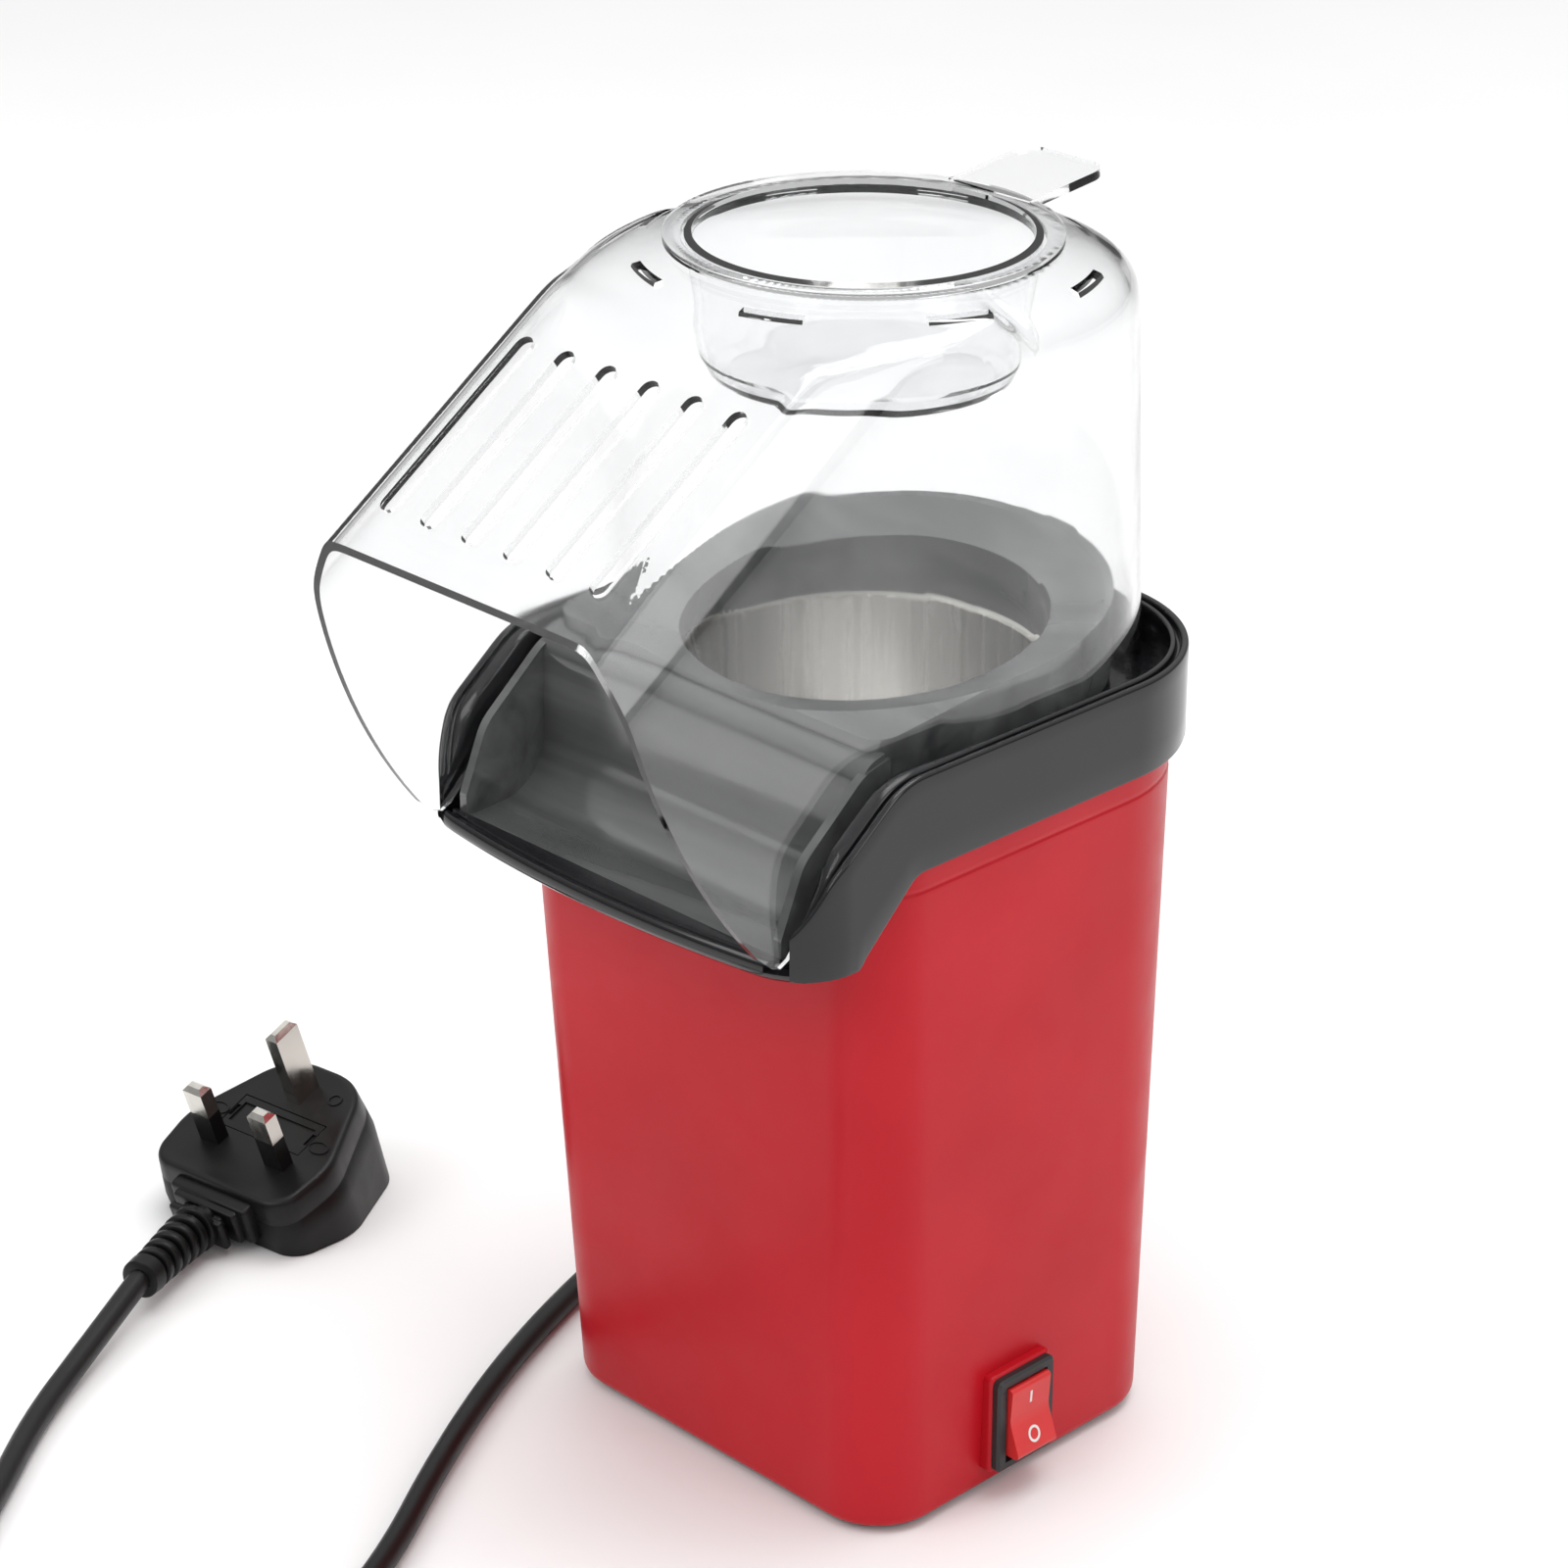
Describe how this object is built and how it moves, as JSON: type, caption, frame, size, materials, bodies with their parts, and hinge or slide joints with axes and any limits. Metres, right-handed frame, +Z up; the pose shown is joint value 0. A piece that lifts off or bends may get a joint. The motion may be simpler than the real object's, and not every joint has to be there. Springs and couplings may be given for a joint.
{
  "type": "popcorn maker",
  "caption": "Hot-air popcorn maker: red column body, black collar with chute, clear slotted hood, clear measuring cup, rocker switch and mains cord.",
  "frame": {"origin": "on the surface it stands on, at the middle of the object's box without its cord; the popping chamber's axis stands 26.7 mm behind it", "axes": "+Z up, the chute faces -Y, the switch is on the +X side, the cord leaves at +Y"},
  "size_m": [0.2488, 0.376, 0.287],
  "materials": {
    "red_shell": "satin moulded",
    "black_gloss": "gloss moulded",
    "black_matte": "matte moulded",
    "clear_plastic": "clear moulded",
    "spun_aluminium": "spun",
    "steel": "zinc plated",
    "heating_wire": "drawn",
    "mica": "pressed mica",
    "rubber_dark": "matte",
    "silicone": "matte",
    "white_plastic": "matte moulded",
    "switch_red": "satin moulded",
    "circuit_board": "solder mask",
    "brass_pins": "nickel plated",
    "copper_wire": "insulated",
    "blue_wire": "insulated",
    "bronze": "sintered",
    "magnet": "sintered",
    "cord_jacket": "satin"
  },
  "bodies": {
    "root": {"body_shell": "red_shell", "base_plate": "black_matte", "foot_front_left": "rubber_dark", "foot_front_right": "rubber_dark", "foot_rear_left": "rubber_dark", "foot_rear_right": "rubber_dark", "base_screws": "steel", "collar": "black_gloss", "funnel_bowl": "black_gloss", "chute": "black_gloss", "popping_chamber": "spun_aluminium", "chamber_gasket": "silicone", "air_duct": "steel", "fan_shroud": "black_matte", "shroud_screws": "steel", "heater_frame": "mica", "heater_coil": "heating_wire", "thermostat": "white_plastic", "thermal_fuse": "steel", "motor_can": "steel", "motor_bushes": "bronze", "motor_magnets": "magnet", "motor_screws": "steel", "rectifier_board": "circuit_board", "rectifier_diodes": "black_matte", "switch_housing": "black_matte", "switch_terminals": "bronze", "cord_bushing": "rubber_dark", "terminal_block": "white_plastic", "wire_live": "copper_wire", "wire_neutral": "blue_wire", "wire_switch": "copper_wire", "cord_lead": "cord_jacket", "cord_coil": "cord_jacket", "cord_tail": "cord_jacket", "plug_body": "cord_jacket", "plug_pins": "brass_pins", "plug_pin_sleeves": "black_matte", "plug_fuse_cover": "black_matte", "plug_relief": "rubber_dark"},
    "rotor": {"motor_armature": "steel", "motor_shaft": "steel", "impeller": "black_matte"},
    "rocker": {"switch_rocker": "switch_red"},
    "hood": {"hood_dome": "clear_plastic", "hood_front": "clear_plastic"},
    "cup": {"measuring_cup": "clear_plastic"}
  },
  "joints": [
    {"name": "hood_lift", "type": "slide", "parent": "root", "child": "hood", "axis": [0, 0, 1], "range_m": [0, 0.12]},
    {"name": "cup_lift", "type": "slide", "parent": "hood", "child": "cup", "axis": [0, 0, 1], "range_m": [0, 0.08]},
    {"name": "switch_rock", "type": "hinge", "parent": "root", "child": "rocker", "pos_m": [0.0557, 0.0212, 0.0195], "axis": [0, 1, 0], "range_deg": [0, 16]},
    {"name": "rotor_spin", "type": "hinge", "parent": "root", "child": "rotor", "pos_m": [0, 0.0267, 0.03], "axis": [0, 0, 1], "continuous": true}
  ]
}
